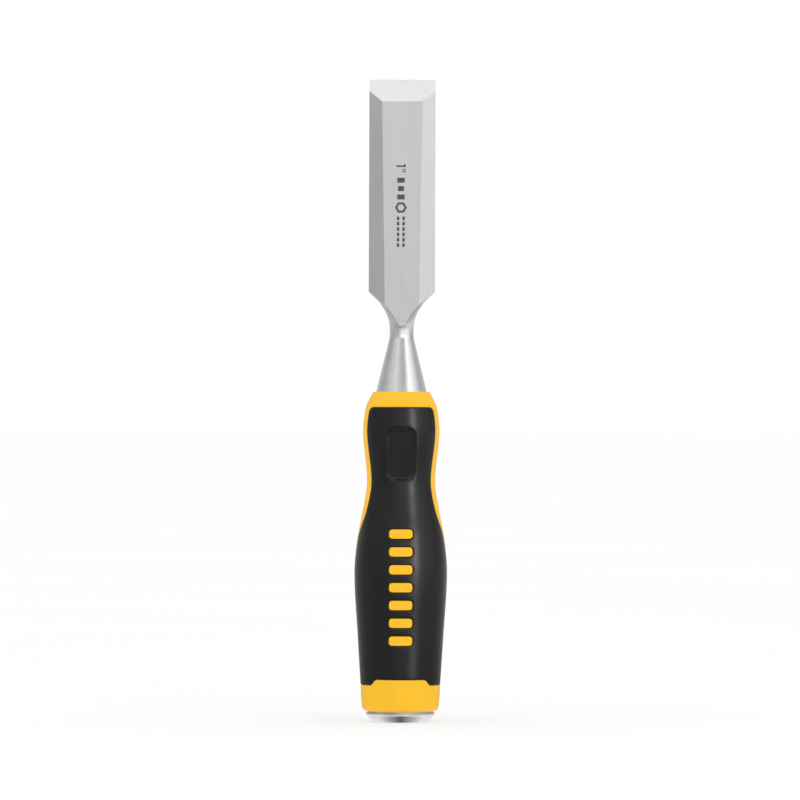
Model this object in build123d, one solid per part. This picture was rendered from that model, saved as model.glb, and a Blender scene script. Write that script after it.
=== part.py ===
from build123d import *
import math
import os

# A one inch bench chisel for hammer use: forged blade with a tang right through a moulded
# two-colour handle, and a turned steel cap on the struck end.
# Frame: origin at the centre of the strike face, +Z up the tool to the cutting edge,
# -Y the bevelled front of the blade, +Y its flat back. Millimetres throughout.

# ---------------------------------------------------------------- blade
BLADE_WIDTH = 25.4
EDGE_HEIGHT = 246.3
EDGE_ANGLE = 25.0
BLADE_THICKNESS_AT_EDGE = 4.0
BLADE_THICKNESS_AT_ROOT = 4.5
SIDE_LAND = 2.1
SIDE_BEVEL_SLOPE = 0.385
SHOULDER_HEIGHT = 164.8
SHOULDER_RADIUS = 8.65
FLARE_SLOPE = 0.68
FLARE_BLEND = 14.0
NECK_RADIUS = 4.62
NECK_HEIGHT = 147.3
NECK_BLEND = 10.0
FRONT_RUNOUT_HEIGHT = 154.5
FRONT_RUNOUT_RADIUS = 30.0
BACK_RUNOUT_HEIGHT = 160.3
BACK_RUNOUT_RADIUS = 12.0
SIDE_BEVEL_START = 151.3

# bolster cone and tang
BOLSTER_RADIUS = 9.85
BOLSTER_RIM_HEIGHT = 126.0
BOLSTER_SEAT = 122.5
TANG_SIZE = 8.0
TANG_CHAMFER = 1.2
NOTCH_RADIUS = 1.5
NOTCH_HEIGHTS = (50.0, 74.0, 98.0)
SPIGOT_RADIUS = 3.8
SPIGOT_TOP = 26.0

# ---------------------------------------------------------------- handle
HANDLE_BOTTOM = 4.1
HANDLE_TOP = 126.5
# height, half width across X, half depth across Y
HANDLE_STATIONS = (
    (4.1, 14.35, 14.35),
    (8.0, 14.95, 14.8),
    (14.6, 15.3, 14.95),
    (32.8, 16.45, 15.1),
    (57.3, 17.78, 15.6),
    (71.9, 16.4, 14.45),
    (81.3, 14.6, 13.0),
    (92.3, 13.1, 11.9),
    (110.8, 14.68, 13.1),
    (120.2, 13.75, 12.75),
    (123.6, 12.4, 12.1),
    (126.5, 10.7, 10.6),
)
SECTION_SPACING = 5.0
BUTT_ROUND = 1.3

# black grip over the yellow body
GRIP_THICKNESS = 2.5
GRIP_TOP = 120.6
GRIP_BOTTOM = 14.25
TAB_TOP = 16.5
TAB_TOP_HALF_WIDTH = 9.3
TAB_BASE_HALF_WIDTH = 11.6
SPINE_HALF_WIDTH = 5.75
SPINE_SHOULDER = 86.5
SPINE_POINT = 68.5
SPINE_FULLNESS = 2.4
SPINE_STEPS = 6
PANEL_CORNER = 2.0

# thumb recess, on the front and on the back of the grip
RECESS_WIDTH = 11.7
RECESS_BOTTOM = 92.9
RECESS_TOP = 112.3
RECESS_CORNER = 3.4
RECESS_DEPTH = 1.5

# column of raised bars of the body that show through windows in the grip
BAR_COUNT = 7
BAR_WIDTH = 9.0
BAR_HEIGHT = 3.6
BAR_CORNER = 1.1
BAR_LOWEST = 31.4
BAR_PITCH = 6.8
BAR_PROUD = 0.2

# hard pre-form moulded round the tang
CORE_RADIUS = 8.6
CORE_GROOVE_RADIUS = 7.4
CORE_BOTTOM = 30.0
CORE_TOP = 116.0
CORE_GROOVES = 6
CORE_GROOVE_WIDTH = 4.0

# ---------------------------------------------------------------- strike cap and its pin
CAP_RADIUS = 13.05
CAP_FACE_RADIUS = 8.0
CAP_ROUND_HEIGHT = 3.2
CAP_NECK_RADIUS = 12.5
CAP_NECK_HEIGHT = 0.5
STEM_RADIUS = 6.5
STEM_TOP = 24.0
STEM_GROOVE_DEPTH = 0.8
STEM_GROOVE_WIDTH = 2.0
STEM_GROOVE_HEIGHTS = (9.0, 20.0)
BORE_BOTTOM = 9.0
PIN_HEIGHT = 14.5
PIN_RADIUS = 1.5
PIN_WALL = 0.55
PIN_SLOT = 0.5
PIN_LENGTH = 12.4

# margins of cutting volumes: right through the tool, and a little beyond one face
REACH = 40.0
WIDE = 2.0


def smooth_value(stations, column, height):
    """Cubic curve through the stations, with each slope taken from its two neighbours."""
    count = len(stations)
    heights = [station[0] for station in stations]
    values = [station[column] for station in stations]
    slopes = []
    for i in range(count):
        low = max(i - 1, 0)
        high = min(i + 1, count - 1)
        slopes.append((values[high] - values[low]) / (heights[high] - heights[low]))
    i = 0
    while i < count - 2 and height > heights[i + 1]:
        i += 1
    span = heights[i + 1] - heights[i]
    t = (height - heights[i]) / span
    start = values[i] * (1 + 2 * t) * (1 - t) ** 2 + slopes[i] * span * t * (1 - t) ** 2
    end = values[i + 1] * t * t * (3 - 2 * t) - slopes[i + 1] * span * t * t * (1 - t)
    return start + end


def handle_form(inset=0.0):
    """The handle's outer form, an oval loft, taken in by the inset (or out, if negative)."""
    steps = round((HANDLE_TOP - HANDLE_BOTTOM) / SECTION_SPACING)
    sections = []
    for i in range(steps + 1):
        height = HANDLE_BOTTOM + (HANDLE_TOP - HANDLE_BOTTOM) * i / steps
        half_width = smooth_value(HANDLE_STATIONS, 1, height) - inset
        half_depth = smooth_value(HANDLE_STATIONS, 2, height) - inset
        sections.append(Plane.XY.offset(height) * Ellipse(half_width, half_depth))
    return loft(sections)


def revolved(outline):
    """Solid of revolution about Z of an outline given as (radius, height) corners."""
    return revolve(Plane.XZ * make_face(outline), axis=Axis.Z)


def slab(bottom, top):
    """Wide block between two heights."""
    return Pos(0, 0, (bottom + top) / 2) * Box(2 * REACH, 2 * REACH, top - bottom)


# ---------------------------------------------------------------- blade

def blade_envelope():
    """Bolster cone, neck, flare and shoulders as one turned form, wide open above them."""
    flare_height = SHOULDER_HEIGHT - (BLADE_WIDTH / 2 - SHOULDER_RADIUS)
    neck_top = flare_height - (SHOULDER_RADIUS - NECK_RADIUS) / FLARE_SLOPE
    open_radius = BLADE_WIDTH / 2 + WIDE
    open_height = SHOULDER_HEIGHT + WIDE
    outline = FilletPolyline(
        (0, BOLSTER_SEAT),
        (BOLSTER_RADIUS, BOLSTER_SEAT),
        (BOLSTER_RADIUS, BOLSTER_RIM_HEIGHT),
        (NECK_RADIUS, NECK_HEIGHT),
        (NECK_RADIUS, neck_top),
        (SHOULDER_RADIUS, flare_height),
        (open_radius, open_height),
        (open_radius, EDGE_HEIGHT + WIDE),
        (0, EDGE_HEIGHT + WIDE),
        radius=(0, 0, 0, NECK_BLEND, FLARE_BLEND, 0, 0, 0, 0),
        close=True,
    )
    sides = Pos(0, 0, EDGE_HEIGHT / 2) * Box(BLADE_WIDTH, 2 * REACH, EDGE_HEIGHT + 4 * WIDE)
    return revolved(outline) & sides


def blade_side_view():
    """Side view in Y and Z: flat back, tapered front, edge bevel, and both run-outs."""
    heel_height = EDGE_HEIGHT - BLADE_THICKNESS_AT_EDGE / math.tan(math.radians(EDGE_ANGLE))
    front_end = (-BLADE_THICKNESS_AT_ROOT, FRONT_RUNOUT_HEIGHT)
    front_foot = (-BLADE_THICKNESS_AT_ROOT - FRONT_RUNOUT_RADIUS,
                  FRONT_RUNOUT_HEIGHT - FRONT_RUNOUT_RADIUS)
    back_end = (0, BACK_RUNOUT_HEIGHT)
    back_foot = (BACK_RUNOUT_RADIUS, BACK_RUNOUT_HEIGHT - BACK_RUNOUT_RADIUS)
    faces = Polyline(front_end, (-BLADE_THICKNESS_AT_EDGE, heel_height), (0, EDGE_HEIGHT),
                     back_end)
    back_runout = TangentArc(back_end, back_foot, tangent=(0, -1))
    front_runout = TangentArc(front_end, front_foot, tangent=(0, -1))
    below = Polyline(back_foot, (REACH, back_foot[1]), (REACH, BOLSTER_SEAT - WIDE),
                     (-REACH, BOLSTER_SEAT - WIDE), (-REACH, front_foot[1]), front_foot)
    return make_face([*faces.edges(), back_runout, *below.edges(), front_runout])


def side_bevel_cut():
    """Wedge that grinds the long bevel along the blade's right-hand side."""
    outer_x = BLADE_WIDTH / 2 + WIDE
    inner_x = NECK_RADIUS
    outer_y = -SIDE_LAND + SIDE_BEVEL_SLOPE * (outer_x - BLADE_WIDTH / 2)
    inner_y = -SIDE_LAND - SIDE_BEVEL_SLOPE * (BLADE_WIDTH / 2 - inner_x)
    wedge = make_face(Polyline((outer_x, outer_y), (inner_x, inner_y), (inner_x, -REACH),
                               (outer_x, -REACH), close=True))
    return Pos(0, 0, SIDE_BEVEL_START) * extrude(wedge, amount=EDGE_HEIGHT)


def tang():
    """Square tang with notches that lock it in the handle, and the spigot for the cap."""
    square = Rectangle(TANG_SIZE, TANG_SIZE)
    square = chamfer(square.vertices(), TANG_CHAMFER)
    bar = Pos(0, 0, SPIGOT_TOP) * extrude(square, amount=BOLSTER_SEAT - SPIGOT_TOP)
    spigot_length = SPIGOT_TOP - BORE_BOTTOM
    bar += Pos(0, 0, BORE_BOTTOM + spigot_length / 2) * Cylinder(SPIGOT_RADIUS, spigot_length)
    for height in NOTCH_HEIGHTS:
        for side in (-1, 1):
            notch = Rot(90, 0, 0) * Cylinder(NOTCH_RADIUS, REACH)
            bar -= Pos(side * TANG_SIZE / 2, 0, height) * notch
    return bar


def make_blade():
    """The whole forging, from the cutting edge to the end of the tang."""
    upper = blade_envelope() & extrude(Plane.YZ * blade_side_view(), amount=REACH, both=True)
    bevel = side_bevel_cut()
    upper -= bevel
    upper -= mirror(bevel, about=Plane.YZ)
    return upper + tang() - pin_cylinder(REACH)


# ---------------------------------------------------------------- strike cap and pin

def pin_cylinder(length):
    """Round bar on the spring pin's axis."""
    return Pos(0, 0, PIN_HEIGHT) * Rot(0, 90, 0) * Cylinder(PIN_RADIUS, length)


def make_strike_cap():
    """Turned disc with a crowned striking edge, a necked top, and a grooved, bored stem."""
    face = Line((0, 0), (CAP_FACE_RADIUS, 0))
    crown = EllipticalCenterArc((CAP_FACE_RADIUS, CAP_ROUND_HEIGHT),
                                CAP_RADIUS - CAP_FACE_RADIUS, CAP_ROUND_HEIGHT,
                                start_angle=-90, arc_size=90)
    body = Polyline(
        (CAP_RADIUS, CAP_ROUND_HEIGHT),
        (CAP_RADIUS, HANDLE_BOTTOM - CAP_NECK_HEIGHT),
        (CAP_NECK_RADIUS, HANDLE_BOTTOM - CAP_NECK_HEIGHT),
        (CAP_NECK_RADIUS, HANDLE_BOTTOM),
        (STEM_RADIUS, HANDLE_BOTTOM),
        (STEM_RADIUS, STEM_TOP),
        (0, STEM_TOP),
        (0, 0),
    )
    cap = revolved([face, crown, *body.edges()])
    for height in STEM_GROOVE_HEIGHTS:
        ring = Cylinder(STEM_RADIUS, STEM_GROOVE_WIDTH)
        ring -= Cylinder(STEM_RADIUS - STEM_GROOVE_DEPTH, STEM_GROOVE_WIDTH)
        cap -= Pos(0, 0, height) * ring
    bore_length = STEM_TOP - BORE_BOTTOM
    cap -= Pos(0, 0, BORE_BOTTOM + bore_length / 2) * Cylinder(SPIGOT_RADIUS, bore_length)
    return cap - pin_cylinder(REACH)


def make_cap_pin():
    """Slotted spring pin, closed to its fitted size."""
    tube = Cylinder(PIN_RADIUS, PIN_LENGTH) - Cylinder(PIN_RADIUS - PIN_WALL, PIN_LENGTH)
    tube -= Pos(PIN_RADIUS, 0, 0) * Box(2 * PIN_RADIUS, PIN_SLOT, PIN_LENGTH)
    return Pos(0, 0, PIN_HEIGHT) * Rot(0, 90, 0) * tube


# ---------------------------------------------------------------- handle mouldings

def core_form():
    """Round pre-form with ring grooves that key it into the body."""
    length = CORE_TOP - CORE_BOTTOM
    form = Pos(0, 0, (CORE_BOTTOM + CORE_TOP) / 2) * Cylinder(CORE_RADIUS, length)
    pitch = length / (CORE_GROOVES + 1)
    for i in range(CORE_GROOVES):
        ring = Cylinder(CORE_RADIUS, CORE_GROOVE_WIDTH)
        ring -= Cylinder(CORE_GROOVE_RADIUS, CORE_GROOVE_WIDTH)
        form -= Pos(0, 0, CORE_BOTTOM + pitch * (i + 1)) * ring
    return form


def grip_zone():
    """Where the grip lies: between its edges, less the side spines and the end tabs."""
    tab = make_face(Polyline(
        (-TAB_TOP_HALF_WIDTH, TAB_TOP),
        (TAB_TOP_HALF_WIDTH, TAB_TOP),
        (TAB_BASE_HALF_WIDTH, GRIP_BOTTOM),
        (TAB_BASE_HALF_WIDTH, GRIP_BOTTOM - WIDE),
        (-TAB_BASE_HALF_WIDTH, GRIP_BOTTOM - WIDE),
        (-TAB_BASE_HALF_WIDTH, GRIP_BOTTOM),
        close=True,
    ))
    zone = slab(GRIP_BOTTOM, GRIP_TOP) - extrude(Plane.XZ * tab, amount=REACH, both=True)
    return zone - extrude(Plane.YZ * spine_outline(), amount=REACH, both=True)


def spine_half_width(height):
    """Half width of a spine between its point and its shoulder."""
    share = (SPINE_SHOULDER - height) / (SPINE_SHOULDER - SPINE_POINT)
    return SPINE_HALF_WIDTH * (1 - share ** SPINE_FULLNESS)


def spine_outline():
    """Side view of a spine: a tongue that narrows to a point and flares into the collar."""
    flare_start = GRIP_TOP - PANEL_CORNER
    flare_end = SPINE_HALF_WIDTH + PANEL_CORNER
    top = GRIP_TOP + WIDE
    rise = (SPINE_SHOULDER - SPINE_POINT) / SPINE_STEPS
    heights = [SPINE_POINT + rise * i for i in range(SPINE_STEPS + 1)]
    right = [
        Spline([(spine_half_width(height), height) for height in heights]),
        Line((SPINE_HALF_WIDTH, SPINE_SHOULDER), (SPINE_HALF_WIDTH, flare_start)),
        RadiusArc((SPINE_HALF_WIDTH, flare_start), (flare_end, GRIP_TOP), PANEL_CORNER),
        Line((flare_end, GRIP_TOP), (flare_end, top)),
        Line((flare_end, top), (0, top)),
    ]
    half = make_face([*right, Line((0, top), (0, SPINE_POINT))])
    return half + mirror(half, about=Plane.YZ)


def recess_prism():
    """Rounded block that marks out the thumb recess, right through front and back."""
    height = RECESS_TOP - RECESS_BOTTOM
    outline = RectangleRounded(RECESS_WIDTH, height, RECESS_CORNER)
    outline = Pos(0, (RECESS_TOP + RECESS_BOTTOM) / 2) * outline
    return extrude(Plane.XZ * outline, amount=REACH, both=True)


def recess_floors():
    """Block between the flat floors of the front and back recesses, which lean together."""
    low = RECESS_BOTTOM - WIDE
    high = RECESS_TOP + WIDE
    low_y = recess_floor(low)
    high_y = recess_floor(high)
    side = make_face(Polyline((-low_y, low), (low_y, low), (high_y, high), (-high_y, high),
                              close=True))
    return extrude(Plane.YZ * side, amount=REACH, both=True)


def recess_floor(height):
    """Distance of a recess's flat floor from the axis."""
    bottom = smooth_value(HANDLE_STATIONS, 2, RECESS_BOTTOM) - RECESS_DEPTH
    top = smooth_value(HANDLE_STATIONS, 2, RECESS_TOP) - RECESS_DEPTH
    return bottom + (top - bottom) * (height - RECESS_BOTTOM) / (RECESS_TOP - RECESS_BOTTOM)


def bar_prisms():
    """Rounded blocks that mark out the column of bars, right through front and back."""
    blocks = []
    for i in range(BAR_COUNT):
        outline = RectangleRounded(BAR_WIDTH, BAR_HEIGHT, BAR_CORNER)
        outline = Pos(0, BAR_LOWEST + i * BAR_PITCH) * outline
        blocks.append(extrude(Plane.XZ * outline, amount=REACH, both=True))
    return blocks


def make_grip_blank(outer):
    """The grip's shell with its windows, before the thumb recess is sunk into it."""
    blank = (outer & grip_zone()) - handle_form(GRIP_THICKNESS)
    for block in bar_prisms():
        blank -= block
    return blank


def make_grip(blank):
    """The black elastomer grip."""
    return blank - (recess_prism() - recess_floors())


def make_handle_body(outer, grip_blank, inner_parts):
    """The yellow body: all of the handle that the grip and the inner parts leave."""
    raised = handle_form(-BAR_PROUD) - handle_form(GRIP_THICKNESS)
    body = outer - grip_blank
    for block in bar_prisms():
        body += block & raised
    for inner in inner_parts:
        body -= inner
    return body


# ---------------------------------------------------------------- assembly

def build():
    """Make every piece in its place, as a dictionary of node name to solid."""
    blade = make_blade()
    cap = make_strike_cap()
    pin = make_cap_pin()
    core = core_form()
    outer = handle_form()
    outer = fillet(outer.edges().sort_by(Axis.Z)[0], BUTT_ROUND)
    blank = make_grip_blank(outer)
    body = make_handle_body(outer, blank, (core, blade, cap, pin_cylinder(PIN_LENGTH)))
    return {
        "blade": blade,
        "inner_core": core - tang(),
        "handle_body": body,
        "grip": make_grip(blank),
        "strike_cap": cap,
        "cap_pin": pin,
    }


os.makedirs("parts", exist_ok=True)
for name, shape in build().items():
    shape.label = name
    export_step(shape, f"parts/{name}.step")
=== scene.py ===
import math

import bmesh
import bpy
import numpy as np
from mathutils import Matrix, Vector


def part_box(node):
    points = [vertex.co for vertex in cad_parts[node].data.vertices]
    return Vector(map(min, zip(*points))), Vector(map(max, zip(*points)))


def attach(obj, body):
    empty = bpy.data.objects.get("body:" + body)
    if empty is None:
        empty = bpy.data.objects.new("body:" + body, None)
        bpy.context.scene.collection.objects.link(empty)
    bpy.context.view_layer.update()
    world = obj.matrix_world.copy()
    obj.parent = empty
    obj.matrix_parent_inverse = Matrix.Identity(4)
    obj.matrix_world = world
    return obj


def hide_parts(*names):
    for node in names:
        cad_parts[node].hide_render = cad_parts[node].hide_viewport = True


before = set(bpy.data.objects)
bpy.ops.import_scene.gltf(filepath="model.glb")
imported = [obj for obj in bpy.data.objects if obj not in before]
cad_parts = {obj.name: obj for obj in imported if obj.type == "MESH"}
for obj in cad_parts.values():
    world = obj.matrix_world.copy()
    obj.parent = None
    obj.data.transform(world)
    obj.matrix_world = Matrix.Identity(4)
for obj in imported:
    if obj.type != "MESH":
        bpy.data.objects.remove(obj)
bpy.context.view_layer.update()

# The whole tool stands on its strike cap: +Z up to the cutting edge, -Y the bevelled front.
# Lengths below are millimetres, and every mesh is scaled to metres when it is made.
MM = 0.001
BODY = "root"


def node_box(name):
    """Lowest and highest corner of a CAD node, in millimetres."""
    low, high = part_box(name)
    return low / MM, high / MM


BLADE_HIGH = node_box("blade")[1]
HANDLE_LOW, HANDLE_HIGH = node_box("handle_body")
GRIP_LOW, GRIP_HIGH = node_box("grip")
CAP_HIGH = node_box("strike_cap")[1]

# ---------------------------------------------------------------- sizes of the handle
HANDLE_BOTTOM = HANDLE_LOW.z
HANDLE_TOP = HANDLE_HIGH.z
GRIP_BOTTOM = GRIP_LOW.z
GRIP_TOP = GRIP_HIGH.z
# height, half width across X, half depth across Y
HANDLE_STATIONS = np.array((
    (4.1, 14.35, 14.35),
    (8.0, 14.95, 14.8),
    (14.6, 15.3, 14.95),
    (32.8, 16.45, 15.1),
    (57.3, 17.78, 15.6),
    (71.9, 16.4, 14.45),
    (81.3, 14.6, 13.0),
    (92.3, 13.1, 11.9),
    (110.8, 14.68, 13.1),
    (120.2, 13.75, 12.75),
    (123.6, 12.4, 12.1),
    (126.5, 10.7, 10.6),
))
BUTT_ROUND = 1.3
GRIP_THICKNESS = 2.5
TAB_TOP = 16.5
TAB_TOP_HALF_WIDTH = 9.3
TAB_BASE_HALF_WIDTH = 11.6
SPINE_HALF_WIDTH = 5.75
SPINE_SHOULDER = 86.5
SPINE_POINT = 68.5
SPINE_FULLNESS = 2.4
PANEL_CORNER = 2.0
RECESS_HALF_WIDTH = 5.85
RECESS_BOTTOM = 92.9
RECESS_TOP = 112.3
RECESS_CORNER = 3.4
RECESS_DEPTH = 1.3
RECESS_WALL = 1.8
BAR_COUNT = 7
BAR_WIDTH = 9.0
BAR_HEIGHT = 3.6
BAR_CORNER = 1.1
BAR_LOWEST = 31.4
BAR_PITCH = 6.8
BAR_PROUD = 0.2
BAR_GAP = 0.15
EDGE_ROUND = 0.35
ROW_SPACING = 0.85
COLUMNS = 124

# ---------------------------------------------------------------- sizes of the blade
BLADE_HALF_WIDTH = BLADE_HIGH.x
EDGE_HEIGHT = BLADE_HIGH.z
EDGE_ANGLE = 25.0
BLADE_THICKNESS_AT_EDGE = 4.0
BLADE_THICKNESS_AT_ROOT = 4.5
SIDE_LAND = 2.1
SIDE_BEVEL_SLOPE = 0.385
SHOULDER_HEIGHT = 164.8
SHOULDER_RADIUS = 8.65
FLARE_SLOPE = 0.68
FLARE_BLEND = 14.0
NECK_RADIUS = 4.62
NECK_HEIGHT = 147.3
NECK_BLEND = 10.0
FRONT_RUNOUT_HEIGHT = 154.5
FRONT_RUNOUT_RADIUS = 30.0
BACK_RUNOUT_HEIGHT = 160.3
BACK_RUNOUT_RADIUS = 12.0
SIDE_BEVEL_START = 151.3
BOLSTER_RADIUS = 9.85
BOLSTER_RIM_HEIGHT = 126.0
BOLSTER_SEAT = 122.5
# smallest face that counts as one of the blade's flats, in square millimetres
LARGE_FACE = 12.0
MARKS_OFFSET = -0.45
HEEL_HEIGHT = EDGE_HEIGHT - BLADE_THICKNESS_AT_EDGE / math.tan(math.radians(EDGE_ANGLE))

# ---------------------------------------------------------------- sizes of the cap
CAP_RADIUS = CAP_HIGH.x
CAP_FACE_RADIUS = 8.0
CAP_ROUND_HEIGHT = 3.2
CAP_NECK_RADIUS = 12.5
CAP_NECK_HEIGHT = 0.5
STEM_RADIUS = 6.5

# ---------------------------------------------------------------- the marks, and fine edges
MARK_REACHES_IN = 0.02
MARK_STANDS_PROUD = 0.012
HEXAGON_HEIGHT = 197.05
HEXAGON_OUTER_RADIUS = 2.3
HEXAGON_INNER_RADIUS = 1.35
TICK_OFFSET = 1.05
TICK_WIDTH = 0.95
TICK_HEIGHT = 1.4
TICK_HIGHEST = 192.9
TICK_PITCH = 2.05
BROKEN_EDGE = 0.06
# distances in from an edge where a rounded edge gets a row of corners
EDGE_ROWS = (0.0, 0.07, 0.18, EDGE_ROUND)
CUTTER_REACH = 30.0

# ---------------------------------------------------------------- the stage
# brightness as the metal sees it: (degrees from straight in front, right positive; brightness)
LOW_SURROUNDINGS = ((-180, 0.7), (-100, 0.4), (-60, 0.5), (-30, 0.5), (0, 1.25), (50, 1.25),
                    (100, 0.4), (180, 0.7))
MIDDLE_SURROUNDINGS = ((-180, 0.4), (-100, 0.4), (-30, 0.8), (0, 0.5), (20, 0.5), (40, 1.3),
                       (100, 0.5), (180, 0.4))
# painted reflection in the floor as the metal sees it: far out, and painted shade right by the cap,
# darkest in front
PAINTED_FAR_REFLECTION = ((-180, 0.7), (-60, 0.4), (0, 0.3), (50, 0.7), (180, 0.7))
PAINTED_SHADE_BY_CAP = ((-180, 0.95), (-50, 0.95), (0, 0.1), (50, 0.95), (180, 0.95))
OVERHEAD = 1.4
ZENITH = 0.3
WHITE_BACKDROP = 1.05
FLOOR_HALF_SIZE = 20000
CAMERA_LENS = 258.0
CAMERA_PLACE = (-0.00053, -2.2, 0.12333)
CAMERA_ROLL = -0.21


# ================================================================ node materials

def new_material(name):
    """Empty node material with its shader."""
    material = bpy.data.materials.new(name)
    material.use_nodes = True
    shader = material.node_tree.nodes["Principled BSDF"]
    return material, shader


def add_node(material, kind, **settings):
    """New node with its properties set, and its inputs where the name is an input's."""
    node = material.node_tree.nodes.new(kind)
    for name, value in settings.items():
        key = name.replace("_", " ").title()
        if hasattr(node, name):
            setattr(node, name, value)
        else:
            node.inputs[key].default_value = value
    return node


def link(material, source, target):
    material.node_tree.links.new(source, target)


def object_space(material, scale):
    """Object position, multiplied along each axis."""
    place = add_node(material, "ShaderNodeTexCoord")
    mapping = add_node(material, "ShaderNodeMapping")
    mapping.inputs["Scale"].default_value = scale
    link(material, place.outputs["Object"], mapping.inputs["Vector"])
    return mapping.outputs["Vector"]


def noise(material, vector, scale, detail=3.0, roughness=0.5):
    node = add_node(material, "ShaderNodeTexNoise", scale=scale, detail=detail,
                    roughness=roughness)
    link(material, vector, node.inputs["Vector"])
    return node.outputs["Fac"]


def ramp(material, factor, stops):
    """Colour ramp: stops are (position, grey or colour)."""
    node = add_node(material, "ShaderNodeValToRGB")
    elements = node.color_ramp.elements
    while len(elements) < len(stops):
        elements.new(0.5)
    for element, (position, value) in zip(elements, stops):
        element.position = position
        if isinstance(value, (int, float)):
            value = grey(value)
        element.color = (*value, 1.0)
    link(material, factor, node.inputs["Fac"])
    return node.outputs["Color"]


def rising(material, value, low, high):
    """0 up to the low value, 1 from the high value on."""
    node = add_node(material, "ShaderNodeMapRange")
    node.inputs["From Min"].default_value = low
    node.inputs["From Max"].default_value = high
    link(material, value, node.inputs["Value"])
    return node.outputs["Result"]


def grey(value):
    return (value, value, value)


def mix_colour(material, factor, first, second):
    """Colour between two others; each is a colour or an output."""
    node = add_node(material, "ShaderNodeMix", data_type="RGBA")
    factor_in, first_in, second_in = node.inputs[0], node.inputs[6], node.inputs[7]
    link(material, factor, factor_in)
    for colour, target in ((first, first_in), (second, second_in)):
        if isinstance(colour, tuple):
            target.default_value = (*colour, 1.0)
        else:
            link(material, colour, target)
    return node.outputs[2]


def bump(material, height, strength, distance):
    node = add_node(material, "ShaderNodeBump", strength=strength, distance=distance)
    link(material, height, node.inputs["Height"])
    return node.outputs["Normal"]


def ground_steel():
    """Blade faces, ground along their length, with faint lines and handling marks."""
    material, shader = new_material("ground_steel")
    shader.inputs["Metallic"].default_value = 1.0
    lines = noise(material, object_space(material, (2600, 2600, 22)), 1.0, 4.0, 0.6)
    patches = noise(material, object_space(material, (60, 60, 25)), 1.0, 2.0)
    link(material, ramp(material, patches, ((0.3, 0.70), (0.7, 0.75))),
         shader.inputs["Base Color"])
    link(material, ramp(material, lines, ((0.3, 0.30), (0.7, 0.42))),
         shader.inputs["Roughness"])
    link(material, bump(material, lines, 0.25, 0.00002), shader.inputs["Normal"])
    return material


def polished_steel():
    """Neck and bolster cone, turned and polished."""
    material, shader = new_material("polished_steel")
    shader.inputs["Metallic"].default_value = 1.0
    rings = noise(material, object_space(material, (40, 40, 2500)), 1.0, 3.0)
    cloud = noise(material, object_space(material, (120, 120, 120)), 1.0, 3.0)
    link(material, ramp(material, cloud, ((0.3, 0.80), (0.7, 0.86))),
         shader.inputs["Base Color"])
    link(material, ramp(material, cloud, ((0.3, 0.13), (0.7, 0.20))),
         shader.inputs["Roughness"])
    link(material, bump(material, rings, 0.08, 0.00002), shader.inputs["Normal"])
    return material


def turned_steel():
    """Strike cap: turned rings on bright steel."""
    material, shader = new_material("turned_steel")
    shader.inputs["Metallic"].default_value = 1.0
    cloud = noise(material, object_space(material, (150, 150, 150)), 1.0, 3.0)
    place = add_node(material, "ShaderNodeTexCoord")
    rings = add_node(material, "ShaderNodeTexWave", wave_type="RINGS", rings_direction="Z",
                     scale=900.0, distortion=0.6)
    link(material, place.outputs["Object"], rings.inputs["Vector"])
    link(material, ramp(material, cloud, ((0.3, 0.70), (0.7, 0.80))),
         shader.inputs["Base Color"])
    link(material, ramp(material, cloud, ((0.3, 0.14), (0.7, 0.24))),
         shader.inputs["Roughness"])
    link(material, bump(material, rings.outputs["Fac"], 0.12, 0.00002),
         shader.inputs["Normal"])
    return material


def yellow_plastic():
    """Body: satin moulded plastic with a very fine spark-eroded texture."""
    material, shader = new_material("yellow_plastic")
    shader.inputs["Specular IOR Level"].default_value = 0.45
    cloud = noise(material, object_space(material, (70, 70, 70)), 1.0, 3.0)
    grain = noise(material, object_space(material, (5200, 5200, 5200)), 1.0, 2.0)
    yellow, lighter = (0.96, 0.51, 0.003), (0.99, 0.54, 0.005)
    link(material, ramp(material, cloud, ((0.3, yellow), (0.7, lighter))),
         shader.inputs["Base Color"])
    link(material, ramp(material, cloud, ((0.3, 0.38), (0.7, 0.48))),
         shader.inputs["Roughness"])
    link(material, bump(material, grain, 0.15, 0.00003), shader.inputs["Normal"])
    return material


def black_elastomer():
    """Grip: matte elastomer with a fine stipple."""
    material, shader = new_material("black_elastomer")
    cloud = noise(material, object_space(material, (90, 90, 60)), 1.0, 4.0)
    stipple = noise(material, object_space(material, (2600, 2600, 2600)), 1.0, 2.0)
    shader.inputs["Specular IOR Level"].default_value = 0.4
    dark, less_dark = (0.004, 0.004, 0.005), (0.006, 0.006, 0.007)
    link(material, ramp(material, cloud, ((0.3, dark), (0.7, less_dark))),
         shader.inputs["Base Color"])
    link(material, ramp(material, cloud, ((0.3, 0.25), (0.7, 0.31))),
         shader.inputs["Roughness"])
    link(material, bump(material, stipple, 0.3, 0.00004), shader.inputs["Normal"])
    return material


def etched_mark():
    """Dark etched marks on the blade."""
    material, shader = new_material("etched_mark")
    cloud = noise(material, object_space(material, (3000, 3000, 3000)), 1.0, 3.0)
    link(material, ramp(material, cloud, ((0.3, 0.06), (0.7, 0.14))),
         shader.inputs["Base Color"])
    shader.inputs["Roughness"].default_value = 0.6
    shader.inputs["Metallic"].default_value = 0.4
    return material


def dark_plastic():
    """Hidden pre-form inside the handle."""
    material, shader = new_material("dark_plastic")
    cloud = noise(material, object_space(material, (300, 300, 300)), 1.0, 3.0)
    link(material, ramp(material, cloud, ((0.3, 0.015), (0.7, 0.03))),
         shader.inputs["Base Color"])
    shader.inputs["Roughness"].default_value = 0.5
    return material


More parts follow.
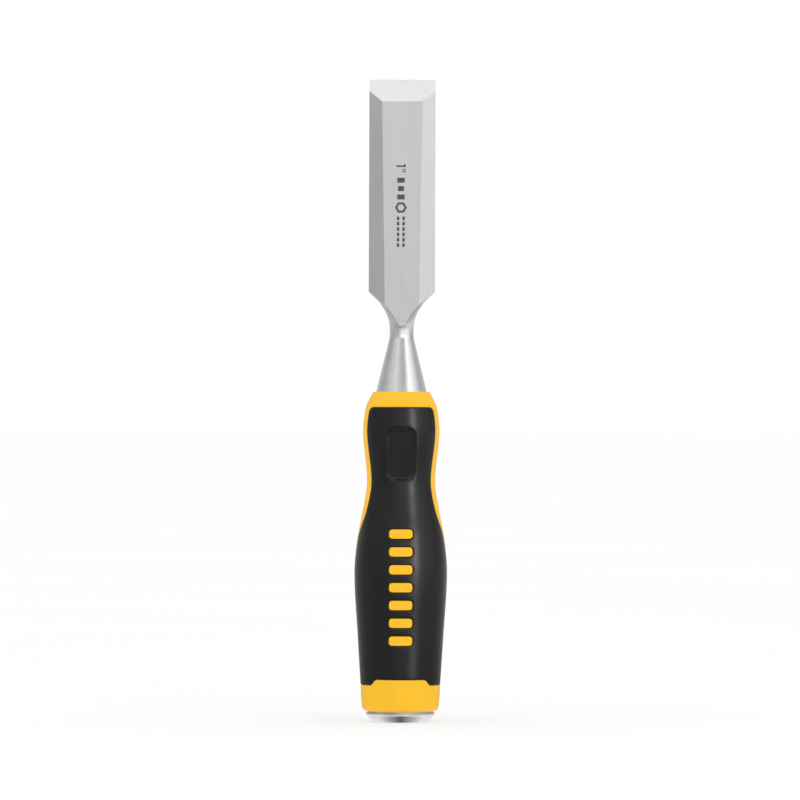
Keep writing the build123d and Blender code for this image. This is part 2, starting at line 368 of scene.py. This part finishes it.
def spring_steel():
    """Hidden pin."""
    material, shader = new_material("spring_steel")
    shader.inputs["Metallic"].default_value = 1.0
    cloud = noise(material, object_space(material, (900, 900, 900)), 1.0, 3.0)
    link(material, ramp(material, cloud, ((0.3, 0.25), (0.7, 0.4))),
         shader.inputs["Base Color"])
    shader.inputs["Roughness"].default_value = 0.35
    return material


# ================================================================ mesh helpers

def new_piece(name, corners, faces, materials):
    """Mesh object from corners in millimetres."""
    mesh = bpy.data.meshes.new(name)
    mesh.from_pydata([tuple(c) for c in np.asarray(corners) * MM], [], faces)
    for material in materials:
        mesh.materials.append(material)
    piece = bpy.data.objects.new(name, mesh)
    bpy.context.scene.collection.objects.link(piece)
    return piece


def shade(piece, angle=30.0):
    """Smooth shading, with edges over the angle left sharp."""
    for face in piece.data.polygons:
        face.use_smooth = True
    piece.data.set_sharp_from_angle(angle=math.radians(angle))


def tidy_mesh(piece, distance=0.004):
    """Join corners that coincide, and turn the faces outward."""
    mesh = bmesh.new()
    mesh.from_mesh(piece.data)
    bmesh.ops.remove_doubles(mesh, verts=mesh.verts, dist=distance * MM)
    bmesh.ops.dissolve_degenerate(mesh, edges=mesh.edges, dist=distance * MM / 2)
    bmesh.ops.recalc_face_normals(mesh, faces=mesh.faces)
    mesh.to_mesh(piece.data)
    mesh.free()


def turned(name, outline, segments, materials):
    """Solid of revolution about Z from (radius, height) corners; it starts and ends at radius 0."""
    corners = []
    rings = []
    for radius, height in outline:
        if radius == 0:
            rings.append([len(corners)] * segments)
            corners.append((0, 0, height))
            continue
        rings.append(list(range(len(corners), len(corners) + segments)))
        for i in range(segments):
            angle = 2 * math.pi * i / segments
            corners.append((radius * math.cos(angle), radius * math.sin(angle), height))
    faces = []
    for lower, upper in zip(rings, rings[1:]):
        for i in range(segments):
            j = (i + 1) % segments
            face = [lower[i], lower[j], upper[j], upper[i]]
            faces.append(list(dict.fromkeys(face)))
    piece = new_piece(name, corners, faces, materials)
    tidy_mesh(piece)
    return piece


def arc(centre, radius, start, end, steps):
    """Points on an arc between two angles in degrees."""
    points = []
    for i in range(steps + 1):
        angle = math.radians(start + (end - start) * i / steps)
        points.append((centre[0] + radius * math.cos(angle),
                       centre[1] + radius * math.sin(angle)))
    return points


def rounded_corner(before, corner, after, radius, steps):
    """Points that round one corner of an outline with a tangent arc."""
    before, corner, after = Vector(before), Vector(corner), Vector(after)
    first = (before - corner).normalized()
    second = (after - corner).normalized()
    half = first.angle(second) / 2
    centre = corner + (first + second).normalized() * radius / math.sin(half)
    start = corner + first * radius / math.tan(half)
    end = corner + second * radius / math.tan(half)
    low = math.atan2(start.y - centre.y, start.x - centre.x)
    high = math.atan2(end.y - centre.y, end.x - centre.x)
    if high - low > math.pi:
        high -= 2 * math.pi
    if low - high > math.pi:
        high += 2 * math.pi
    return arc(centre, radius, math.degrees(low), math.degrees(high), steps)


def straight(start, end, steps):
    """Points from start towards end, without the end."""
    points = []
    for i in range(steps):
        t = i / steps
        points.append((start[0] + (end[0] - start[0]) * t, start[1] + (end[1] - start[1]) * t))
    return points


# ================================================================ handle skin

def form_size(column, height):
    """Half width (1) or half depth (2) of the handle's oval at each height."""
    heights = HANDLE_STATIONS[:, 0]
    values = HANDLE_STATIONS[:, column]
    below = np.r_[0, np.arange(len(heights) - 1)]
    above = np.r_[np.arange(1, len(heights)), len(heights) - 1]
    slopes = (values[above] - values[below]) / (heights[above] - heights[below])
    i = np.clip(np.searchsorted(heights, height) - 1, 0, len(heights) - 2)
    span = heights[i + 1] - heights[i]
    t = np.clip((height - heights[i]) / span, 0, 1)
    start = values[i] * (1 + 2 * t) * (1 - t) ** 2 + slopes[i] * span * t * (1 - t) ** 2
    end = values[i + 1] * t * t * (3 - 2 * t) - slopes[i + 1] * span * t * t * (1 - t)
    return start + end


class Skin:
    """Net of faces over the handle's form.

    A corner is (sine, cosine, height): the direction round the axis from the front, and
    where it is up the handle. Faces are lists of corner numbers, split along edges of zones.
    """

    def __init__(self):
        rows = round((HANDLE_TOP - HANDLE_BOTTOM - BUTT_ROUND) / ROW_SPACING)
        first = HANDLE_BOTTOM + BUTT_ROUND
        heights = [HANDLE_BOTTOM + BUTT_ROUND * (1 - math.cos(math.radians(a)))
                   for a in (0, 15, 30, 45, 60, 75)]
        heights += [first + (HANDLE_TOP - first) * i / rows for i in range(rows + 1)]
        self.corners = []
        for height in heights:
            for i in range(COLUMNS):
                angle = 2 * math.pi * (i + 0.5) / COLUMNS
                self.corners.append((math.sin(angle), math.cos(angle), height))
        self.faces = []
        for row in range(len(heights) - 1):
            for i in range(COLUMNS):
                j = (i + 1) % COLUMNS
                low, high = row * COLUMNS, (row + 1) * COLUMNS
                self.faces.append([low + i, low + j, high + j, high + i])
        self.bottom = list(range(COLUMNS))
        self.top = list(range((len(heights) - 1) * COLUMNS, len(heights) * COLUMNS))

    def split(self, field, level=0.0):
        """Split every face that the field crosses at this level, along the crossing."""
        points = np.array(self.corners)
        value = field(points) - level
        above = value > 0
        pairs = set()
        for face in self.faces:
            for i, j in zip(face, face[1:] + face[:1]):
                if above[i] != above[j]:
                    pairs.add((min(i, j), max(i, j)))
        if not pairs:
            return
        pairs = sorted(pairs)
        first = points[[p[0] for p in pairs]]
        second = points[[p[1] for p in pairs]]
        second_above = above[[p[1] for p in pairs]]
        low = np.zeros(len(pairs))
        high = np.ones(len(pairs))
        for _ in range(14):
            middle = (low + high) / 2
            past = (field(mix(first, second, middle)) - level > 0) == second_above
            high = np.where(past, middle, high)
            low = np.where(past, low, middle)
        share = np.clip((low + high) / 2, 0.02, 0.98)
        crossing = {}
        for pair, point in zip(pairs, mix(first, second, share)):
            crossing[pair] = len(self.corners)
            self.corners.append(tuple(point))
        faces = []
        for face in self.faces:
            loop = []
            marks = []
            for i, j in zip(face, face[1:] + face[:1]):
                loop.append(i)
                if above[i] != above[j]:
                    marks.append(len(loop))
                    loop.append(crossing[(min(i, j), max(i, j))])
            if len(marks) == 2:
                a, b = marks
                faces.append(loop[a:b + 1])
                faces.append(loop[b:] + loop[:a + 1])
            else:
                faces.append(loop)
        self.faces = faces

    def inside(self, field):
        """For each face, whether its middle is in the zone."""
        points = np.array(self.corners)
        middles = np.array([points[face].mean(axis=0) for face in self.faces])
        return field(unit(middles)) > 0


def unit(points):
    """Corners with their direction brought back to length one."""
    points = np.array(points, dtype=float)
    length = np.hypot(points[:, 0], points[:, 1])
    points[:, 0] /= length
    points[:, 1] /= length
    return points


def mix(first, second, share):
    """Corners part of the way between two sets of corners."""
    return unit(first + (second - first) * share[:, None])


def on_form(points, inset=0.0):
    """Corners of the skin as X, Y, Z in millimetres, taken in by the inset."""
    height = points[:, 2]
    x = (form_size(1, height) - inset) * points[:, 0]
    y = -(form_size(2, height) - inset) * points[:, 1]
    return np.column_stack((x, y, height))


def rounded_box(across, up, half_width, half_height, corner):
    """Distance outside a rounded rectangle, negative within it."""
    dx = np.abs(across) - half_width + corner
    dy = np.abs(up) - half_height + corner
    outside = np.hypot(np.maximum(dx, 0), np.maximum(dy, 0))
    return outside + np.minimum(np.maximum(dx, dy), 0) - corner


def panel_field(points):
    """Distance into the grip's area from its edges, without its windows."""
    place = on_form(points)
    x, y, z = np.abs(place[:, 0]), np.abs(place[:, 1]), place[:, 2]
    slant = np.clip((TAB_BASE_HALF_WIDTH - x) / (TAB_BASE_HALF_WIDTH - TAB_TOP_HALF_WIDTH), 0, 1)
    slant = slant * slant * (3 - 2 * slant)
    low = z - GRIP_BOTTOM - (TAB_TOP - GRIP_BOTTOM) * slant
    rise = (SPINE_SHOULDER - z) / (SPINE_SHOULDER - SPINE_POINT)
    rise = np.maximum(rise, 0)
    lean = (SPINE_HALF_WIDTH * SPINE_FULLNESS / (SPINE_SHOULDER - SPINE_POINT)
            * rise ** (SPINE_FULLNESS - 1))
    side = (y - SPINE_HALF_WIDTH * (1 - rise ** SPINE_FULLNESS)) / np.hypot(1, lean)
    top = GRIP_TOP - z
    corner = np.minimum(side, top)
    near = (side < PANEL_CORNER) & (top < PANEL_CORNER)
    bend = PANEL_CORNER - np.hypot(PANEL_CORNER - side, PANEL_CORNER - top)
    return np.minimum(np.where(near, bend, corner), low)


def bar_field(points):
    """Distance into the nearest raised bar, on the front or on the back."""
    place = on_form(points)
    x, z = place[:, 0], place[:, 2]
    nearest = np.full(len(points), 1e3)
    for i in range(BAR_COUNT):
        middle = BAR_LOWEST + i * BAR_PITCH
        box = rounded_box(x, z - middle, BAR_WIDTH / 2, BAR_HEIGHT / 2, BAR_CORNER)
        nearest = np.minimum(nearest, box)
    return -nearest


def recess_field(points):
    """Distance into the thumb recess, on the front or on the back."""
    place = on_form(points)
    middle = (RECESS_TOP + RECESS_BOTTOM) / 2
    half_height = (RECESS_TOP - RECESS_BOTTOM) / 2
    return -rounded_box(place[:, 0], place[:, 2] - middle, RECESS_HALF_WIDTH, half_height,
                        RECESS_CORNER)


def recess_floor(height):
    """Distance of the recess's flat floor from the axis, at each height."""
    bottom = form_size(2, RECESS_BOTTOM) - RECESS_DEPTH
    top = form_size(2, RECESS_TOP) - RECESS_DEPTH
    return bottom + (top - bottom) * (height - RECESS_BOTTOM) / (RECESS_TOP - RECESS_BOTTOM)


def grip_field(points):
    """Distance into the grip: its area less a fine gap round each bar."""
    return np.minimum(panel_field(points), -bar_field(points) - BAR_GAP)


def body_field(points):
    """Distance into the bare areas of the body: round the grip, and the bars within it."""
    return np.maximum(-panel_field(points), bar_field(points))


def edge_drop(distance, radius):
    """How far a rounded edge falls away at each distance in from it."""
    inward = np.clip(radius - distance, 0, radius)
    return radius - np.sqrt(radius ** 2 - inward ** 2)


def butt_drop(height):
    """The body's rounded lower edge."""
    return edge_drop(height - HANDLE_BOTTOM, BUTT_ROUND)


def step(value):
    """Smooth rise from 0 to 1."""
    value = np.clip(value, 0, 1)
    return value * value * (3 - 2 * value)


def shell(skin, chosen, outer, inner):
    """Closed mesh of the chosen faces: their outer and inner sides, and walls between."""
    count = len(skin.corners)
    corners = np.vstack((outer, inner))
    faces = []
    edges = {}
    for face, keep in zip(skin.faces, chosen):
        if not keep:
            continue
        faces.append(list(face))
        faces.append([i + count for i in reversed(face)])
        for i, j in zip(face, face[1:] + face[:1]):
            edges[(i, j)] = True
    for i, j in edges:
        if (j, i) not in edges:
            faces.append([j, i, i + count, j + count])
    return compact(corners, faces)


def compact(corners, faces):
    """Drop the corners that no face uses."""
    used = sorted({i for face in faces for i in face})
    number = {old: new for new, old in enumerate(used)}
    return corners[used], [[number[i] for i in face] for face in faces]


def make_grip(material):
    """Elastomer shell with rounded edges, a recess front and back, and windows for the bars."""
    skin = Skin()
    for level in EDGE_ROWS:
        skin.split(grip_field, level)
    for share in (-0.5, -0.3, -0.1, 0.1, 0.3, 0.5):
        skin.split(recess_field, share * RECESS_WALL)
    points = np.array(skin.corners)
    to_floor = form_size(2, points[:, 2]) - recess_floor(points[:, 2]) / np.abs(points[:, 1])
    sunk = to_floor * step(recess_field(points) / RECESS_WALL + 0.5)
    drop = edge_drop(grip_field(points), EDGE_ROUND) + sunk
    chosen = skin.inside(grip_field)
    corners, faces = shell(skin, chosen, on_form(points, drop), on_form(points, GRIP_THICKNESS))
    piece = new_piece("handle_grip", corners, faces, [material])
    tidy_mesh(piece)
    shade(piece, 40)
    return piece


def make_body(material):
    """Yellow body: bare areas at the surface, the rest sunk under the grip, and closed ends."""
    skin = Skin()
    for level in EDGE_ROWS:
        skin.split(body_field, level)
    points = np.array(skin.corners)
    distance = body_field(points)
    raised = np.where(bar_field(points) > -BAR_GAP, BAR_PROUD, 0.0)
    drop = edge_drop(distance, EDGE_ROUND) + butt_drop(points[:, 2]) - raised
    outer = on_form(points, drop)
    inner = on_form(points, GRIP_THICKNESS)
    bare = skin.inside(body_field)
    count = len(points)
    faces = []
    edges = set()
    for face, on_top in zip(skin.faces, bare):
        faces.append(list(face) if on_top else [i + count for i in face])
        if on_top:
            edges.update(zip(face, face[1:] + face[:1]))
    borders = set(skin.bottom) | set(skin.top)
    for i, j in edges:
        if (j, i) not in edges and not (i in borders and j in borders):
            faces.append([j, i, i + count, j + count])
    corners = np.vstack((outer, inner))
    faces.append(list(reversed(skin.bottom)))
    bore = []
    for height in (HANDLE_TOP, BOLSTER_SEAT):
        bore.append(list(range(len(corners), len(corners) + COLUMNS)))
        directions = points[skin.top]
        ring = np.column_stack((BOLSTER_RADIUS * directions[:, 0],
                                -BOLSTER_RADIUS * directions[:, 1],
                                np.full(COLUMNS, height)))
        corners = np.vstack((corners, ring))
    for low, high in ((skin.top, bore[0]), (bore[0], bore[1])):
        for i in range(COLUMNS):
            j = (i + 1) % COLUMNS
            faces.append([low[i], low[j], high[j], high[i]])
    faces.append(bore[1])
    corners, faces = compact(corners, faces)
    piece = new_piece("handle_body_moulding", corners, faces, [material])
    tidy_mesh(piece)
    shade(piece, 40)
    return piece


# ================================================================ blade

def blade_outline():
    """Bolster cone, neck, flare and shoulders as (radius, height) corners."""
    flare_height = SHOULDER_HEIGHT - (BLADE_HALF_WIDTH - SHOULDER_RADIUS)
    neck_top = flare_height - (SHOULDER_RADIUS - NECK_RADIUS) / FLARE_SLOPE
    rim = (BOLSTER_RADIUS, BOLSTER_RIM_HEIGHT)
    waist = (NECK_RADIUS, NECK_HEIGHT)
    throat = (NECK_RADIUS, neck_top)
    flare = (SHOULDER_RADIUS, flare_height)
    top = BLADE_HALF_WIDTH + 2
    outline = [(0, BOLSTER_SEAT), (BOLSTER_RADIUS, BOLSTER_SEAT)]
    waist_arc = rounded_corner(rim, waist, throat, NECK_BLEND, 8)
    throat_arc = rounded_corner(waist, throat, flare, FLARE_BLEND, 16)
    outline += straight(rim, waist_arc[0], 12) + waist_arc
    outline += throat_arc + [flare, (top, SHOULDER_HEIGHT + 2), (top, EDGE_HEIGHT + 3)]
    outline.append((0, EDGE_HEIGHT + 3))
    return outline


def prism(name, outline, axis, half_length, material):
    """Closed prism of an outline in Y and Z (axis "x") or in X and Y (axis "z")."""
    corners = []
    for end in (-half_length, half_length):
        for a, b in outline:
            corners.append((end, a, b) if axis == "x" else (a, b, end))
    n = len(outline)
    faces = [list(range(n)), list(range(2 * n - 1, n - 1, -1))]
    for i in range(n):
        j = (i + 1) % n
        faces.append([j, i, i + n, j + n])
    piece = new_piece(name, corners, faces, [material])
    tidy_mesh(piece)
    return piece


def boolean(piece, cutter, operation):
    """Apply a boolean and remove the cutter; new faces keep the cutter's material."""
    modifier = piece.modifiers.new("cut", "BOOLEAN")
    modifier.operation = operation
    modifier.object = cutter
    modifier.solver = "EXACT"
    modifier.material_mode = "TRANSFER"
    bake_modifiers(piece)
    bpy.data.objects.remove(cutter)


def bake_modifiers(piece):
    """Put the piece's modifiers into its mesh."""
    graph = bpy.context.evaluated_depsgraph_get()
    mesh = bpy.data.meshes.new_from_object(piece.evaluated_get(graph))
    piece.modifiers.clear()
    piece.data = mesh


def blade_side_outline():
    """Side view: flat back, tapered front, edge bevel and the two run-outs, as (Y, Z)."""
    front = -BLADE_THICKNESS_AT_ROOT
    outline = [(-BLADE_THICKNESS_AT_EDGE, HEEL_HEIGHT), (0, EDGE_HEIGHT)]
    outline += arc((BACK_RUNOUT_RADIUS, BACK_RUNOUT_HEIGHT), BACK_RUNOUT_RADIUS, 180, 270, 30)
    outline += [(40, BACK_RUNOUT_HEIGHT - BACK_RUNOUT_RADIUS), (40, 110), (-40, 110)]
    outline.append((-40, FRONT_RUNOUT_HEIGHT - FRONT_RUNOUT_RADIUS))
    outline += arc((front - FRONT_RUNOUT_RADIUS, FRONT_RUNOUT_HEIGHT), FRONT_RUNOUT_RADIUS,
                   -90, 0, 24)
    return outline


def make_blade(ground, polished):
    """Forging from the bolster's seat to the cutting edge, with fine broken edges."""
    blade = turned("blade_forging", blade_outline(), 128, [polished])
    sides = [(-BLADE_HALF_WIDTH, -CUTTER_REACH), (BLADE_HALF_WIDTH, -CUTTER_REACH),
             (BLADE_HALF_WIDTH, CUTTER_REACH), (-BLADE_HALF_WIDTH, CUTTER_REACH)]
    boolean(blade, prism("sides", sides, "z", 300, ground), "INTERSECT")
    boolean(blade, prism("side_view", blade_side_outline(), "x", 20, ground), "INTERSECT")
    for hand in (-1, 1):
        outer = BLADE_HALF_WIDTH + 2
        inner = NECK_RADIUS
        outer_y = -SIDE_LAND + SIDE_BEVEL_SLOPE * 2
        inner_y = -SIDE_LAND - SIDE_BEVEL_SLOPE * (BLADE_HALF_WIDTH - inner)
        wedge = [(hand * outer, outer_y), (hand * inner, inner_y),
                 (hand * inner, -CUTTER_REACH), (hand * outer, -CUTTER_REACH)]
        cutter = prism("bevel", wedge, "z", 60, ground)
        for vertex in cutter.data.vertices:
            vertex.co.z += (SIDE_BEVEL_START + 60) * MM
        boolean(blade, cutter, "DIFFERENCE")
    tidy_mesh(blade)
    modifier = blade.modifiers.new("broken_edges", "BEVEL")
    modifier.width = BROKEN_EDGE * MM
    modifier.segments = 2
    modifier.limit_method = "ANGLE"
    modifier.angle_limit = math.radians(18)
    modifier.use_clamp_overlap = False
    bake_modifiers(blade)
    drop_spikes(blade)
    shade(blade, 12)
    keep_large_faces_flat(blade)
    return blade


def keep_large_faces_flat(piece):
    """Shade each large face flat up to its broken edges."""
    mesh = piece.data
    normals = [corner.vector.copy() for corner in mesh.corner_normals]
    for face in mesh.polygons:
        if face.area > LARGE_FACE * MM * MM:
            for corner in face.loop_indices:
                normals[corner] = face.normal.copy()
    mesh.normals_split_custom_set(normals)


def drop_spikes(piece):
    """Merge away corners where a large face doubles back on itself."""
    mesh = bmesh.new()
    mesh.from_mesh(piece.data)
    targets = {}
    for face in mesh.faces:
        if face.calc_area() < LARGE_FACE * MM * MM:
            continue
        for corner in face.loops:
            if corner.calc_angle() < math.radians(5):
                before = corner.link_loop_prev.vert
                after = corner.link_loop_next.vert
                near = min((before, after), key=lambda v: (v.co - corner.vert.co).length)
                targets[corner.vert] = near
    bmesh.ops.weld_verts(mesh, targetmap=targets)
    mesh.to_mesh(piece.data)
    mesh.free()


def make_marks(material):
    """Plain etched marks up the blade's front face, and the size mark, a 1 with an inch sign."""
    corners = []
    faces = []

    def front(height):
        share = (HEEL_HEIGHT - height) / (HEEL_HEIGHT - FRONT_RUNOUT_HEIGHT)
        taper = BLADE_THICKNESS_AT_ROOT - BLADE_THICKNESS_AT_EDGE
        return -BLADE_THICKNESS_AT_EDGE - taper * share

    def plate(outline):
        """Thin raised plate with its outline in X and Z."""
        n = len(outline)
        start = len(corners)
        for lift in (-MARK_REACHES_IN, MARK_STANDS_PROUD):
            for x, z in outline:
                corners.append((x + MARKS_OFFSET, front(z) - lift, z))
        faces.append([start + n + i for i in range(n)])
        faces.append([start + i for i in reversed(range(n))])
        for i in range(n):
            j = (i + 1) % n
            faces.append([start + i, start + j, start + n + j, start + n + i])

    def bar(x, z, width, height):
        plate([(x - width / 2, z - height / 2), (x + width / 2, z - height / 2),
               (x + width / 2, z + height / 2), (x - width / 2, z + height / 2)])

    # the size mark lies on its side: a stroke with a flag, and two short ticks below it
    bar(0.0, 212.9, 3.6, 0.6)
    bar(1.4, 213.2, 0.5, 1.0)
    for z in (210.8, 211.6):
        bar(1.2, z, 1.3, 0.4)
    # a column of plain bars, a hexagon outline, and two columns of plain bars
    for z, width in ((207.5, 2.9), (204.3, 2.3), (201.1, 2.9)):
        bar(0.0, z, width, 1.9)
    for i in range(6):
        a, b = math.radians(60 * i), math.radians(60 * (i + 1))
        ring = ((HEXAGON_OUTER_RADIUS, a), (HEXAGON_OUTER_RADIUS, b),
                (HEXAGON_INNER_RADIUS, b), (HEXAGON_INNER_RADIUS, a))
        plate([(r * math.cos(t), HEXAGON_HEIGHT + r * math.sin(t)) for r, t in ring])
    for i in range(6):
        for x in (-TICK_OFFSET, TICK_OFFSET):
            bar(x, TICK_HIGHEST - TICK_PITCH * i, TICK_WIDTH, TICK_HEIGHT)
    piece = new_piece("blade_marks", corners, faces, [material])
    tidy_mesh(piece, 0.0005)
    return piece


# ================================================================ strike cap

def make_cap(material):
    """Turned cap: flat face, crowned striking edge, fine neck under the handle, and the stem."""
    crown = CAP_RADIUS - CAP_FACE_RADIUS
    outline = [(0, 0)]
    outline += [(r, 0) for r in (2, 4, 6)]
    for across, up in arc((0, 0), 1, -90, 0, 24):
        outline.append((CAP_FACE_RADIUS + crown * across, CAP_ROUND_HEIGHT * (1 + up)))
    outline += [(CAP_RADIUS, HANDLE_BOTTOM - CAP_NECK_HEIGHT),
                (CAP_NECK_RADIUS, HANDLE_BOTTOM - CAP_NECK_HEIGHT),
                (CAP_NECK_RADIUS, HANDLE_BOTTOM),
                (STEM_RADIUS, HANDLE_BOTTOM), (STEM_RADIUS, CAP_HIGH.z), (0, CAP_HIGH.z)]
    piece = turned("strike_cap_turned", outline, 128, [material])
    shade(piece, 25)
    return piece


# ================================================================ stage, light and camera

def turn_share(owner, vector):
    """Direction round the tool as 0 to 1: behind, left, straight in front (0.5), right."""
    parts = add_node(owner, "ShaderNodeSeparateXYZ")
    link(owner, vector, parts.inputs["Vector"])
    front = add_node(owner, "ShaderNodeMath", operation="MULTIPLY")
    front.inputs[1].default_value = -1.0
    link(owner, parts.outputs["Y"], front.inputs[0])
    angle = add_node(owner, "ShaderNodeMath", operation="ARCTAN2")
    link(owner, parts.outputs["X"], angle.inputs[0])
    link(owner, front.outputs[0], angle.inputs[1])
    return rising(owner, angle.outputs[0], -math.pi, math.pi)


def round_about(owner, share, stops):
    """Brightness round the tool, from stops of (degrees from the front, brightness)."""
    return ramp(owner, share, [((degrees + 180) / 360, value) for degrees, value in stops])


def world_light():
    """White studio: what the metal reflects changes with the direction round the tool."""
    world = bpy.data.worlds.new("studio")
    bpy.context.scene.world = world
    world.use_nodes = True
    place = add_node(world, "ShaderNodeTexCoord")
    vector = place.outputs["Generated"]
    parts = add_node(world, "ShaderNodeSeparateXYZ")
    link(world, vector, parts.inputs["Vector"])
    share = turn_share(world, vector)
    low = round_about(world, share, LOW_SURROUNDINGS)
    middle = round_about(world, share, MIDDLE_SURROUNDINGS)
    blend = mix_colour(world, rising(world, parts.outputs["Z"], 0.2, 0.36), low, middle)
    blend = mix_colour(world, rising(world, parts.outputs["Z"], 0.55, 0.74), blend,
                       grey(OVERHEAD))
    blend = mix_colour(world, rising(world, parts.outputs["Z"], 0.88, 0.95), blend,
                       grey(ZENITH))
    path = add_node(world, "ShaderNodeLightPath")
    seen = mix_colour(world, path.outputs["Is Glossy Ray"], grey(WHITE_BACKDROP), blend)
    link(world, seen, world.node_tree.nodes["Background"].inputs["Color"])


def area_light(name, azimuth, elevation, distance, size, power):
    """Softbox aimed at the middle of the tool; azimuth 0 is in front, 90 to the right."""
    data = bpy.data.lights.new(name, "AREA")
    data.shape = "RECTANGLE"
    data.size = size[0]
    data.size_y = size[1]
    data.energy = power
    lamp = bpy.data.objects.new(name, data)
    bpy.context.scene.collection.objects.link(lamp)
    a, e = math.radians(azimuth), math.radians(elevation)
    aim = Vector((0, 0, 0.12))
    away = Vector((math.sin(a) * math.cos(e), -math.cos(a) * math.cos(e), math.sin(e)))
    lamp.location = aim + away * distance
    lamp.rotation_euler = away.to_track_quat("Z", "Y").to_euler()
    return lamp


def make_floor():
    """Plain pale floor; what the metal reflects of it is a glowing painted reflection, with painted
    shade right by the cap.
    """
    material, shader = new_material("pale_floor_painted_reflection")
    shader.inputs["Roughness"].default_value = 0.9
    shader.inputs["Specular IOR Level"].default_value = 0.0
    place = object_space(material, (1, 1, 1))
    speck = noise(material, place, 3.0, 2.0)
    pale = ramp(material, speck, ((0.3, 0.95), (0.7, 0.97)))
    away = add_node(material, "ShaderNodeVectorMath", operation="LENGTH")
    link(material, place, away.inputs[0])
    distance = away.outputs["Value"]
    share = turn_share(material, place)
    far_painted_reflection = round_about(material, share, PAINTED_FAR_REFLECTION)
    painted_shade_by_cap = round_about(material, share, PAINTED_SHADE_BY_CAP)
    # painted shade right by the cap, a painted bright ring round it, darker rings beyond, then the
    # far painted reflection
    painted_reflection = painted_shade_by_cap
    for near, far, beyond in ((0.015, 0.02, grey(0.95)), (0.03, 0.04, grey(0.3)),
                              (0.2, 0.3, grey(0.5)), (0.5, 0.6, far_painted_reflection)):
        painted_reflection = mix_colour(material, rising(material, distance, near, far), painted_reflection, beyond)
    link(material, pale, shader.inputs["Base Color"])
    glow = add_node(material, "ShaderNodeEmission")
    glow.inputs["Color"].default_value = (0.97, 0.97, 0.97, 1.0)
    lit = add_node(material, "ShaderNodeMixShader")
    lit.inputs[0].default_value = 0.5
    link(material, shader.outputs[0], lit.inputs[1])
    link(material, glow.outputs[0], lit.inputs[2])
    # glossy rays see the floor glow with this painted reflection instead of its lit colour
    painted_reflection_glow = add_node(material, "ShaderNodeEmission")
    link(material, painted_reflection, painted_reflection_glow.inputs["Color"])
    path = add_node(material, "ShaderNodeLightPath")
    either = add_node(material, "ShaderNodeMixShader")
    link(material, path.outputs["Is Glossy Ray"], either.inputs[0])
    link(material, lit.outputs[0], either.inputs[1])
    link(material, painted_reflection_glow.outputs[0], either.inputs[2])
    link(material, either.outputs[0], material.node_tree.nodes["Material Output"].inputs[0])
    half = FLOOR_HALF_SIZE
    floor = new_piece("floor", [(-half, -half, 0), (half, -half, 0), (half, half, 0),
                                (-half, half, 0)], [[0, 1, 2, 3]], [material])


def make_camera():
    """Level camera in front of the tool, at the middle of its height."""
    data = bpy.data.cameras.new("camera")
    data.lens = CAMERA_LENS
    data.sensor_width = 36.0
    data.clip_start = 0.01
    data.clip_end = 100.0
    camera = bpy.data.objects.new("camera", data)
    bpy.context.scene.collection.objects.link(camera)
    camera.location = CAMERA_PLACE
    camera.rotation_euler = (math.radians(90), math.radians(CAMERA_ROLL), 0)
    bpy.context.scene.camera = camera


# ================================================================ the scene

def main():
    bpy.context.scene.view_settings.view_transform = "Standard"
    make_camera()
    world_light()
    key = area_light("key", 40, 40, 1.5, (0.8, 0.8), 1.0)
    key.visible_glossy = False
    make_floor()

    ground = ground_steel()
    blade = make_blade(ground, polished_steel())
    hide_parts("blade")
    marks = make_marks(etched_mark())
    body = make_body(yellow_plastic())
    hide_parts("handle_body")
    grip = make_grip(black_elastomer())
    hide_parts("grip")
    cap = make_cap(turned_steel())
    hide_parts("strike_cap")
    for piece in (blade, marks, body, grip, cap):
        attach(piece, BODY)
    strip = area_light("strip", 33, 5, 1.5, (0.3, 0.5), 3.4)
    strip.light_linking.receiver_collection = bpy.data.collections.new("lit_by_strip")
    strip.light_linking.receiver_collection.objects.link(grip)
    for name, material in (("inner_core", dark_plastic()), ("cap_pin", spring_steel())):
        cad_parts[name].material_slots[0].material = material


main()
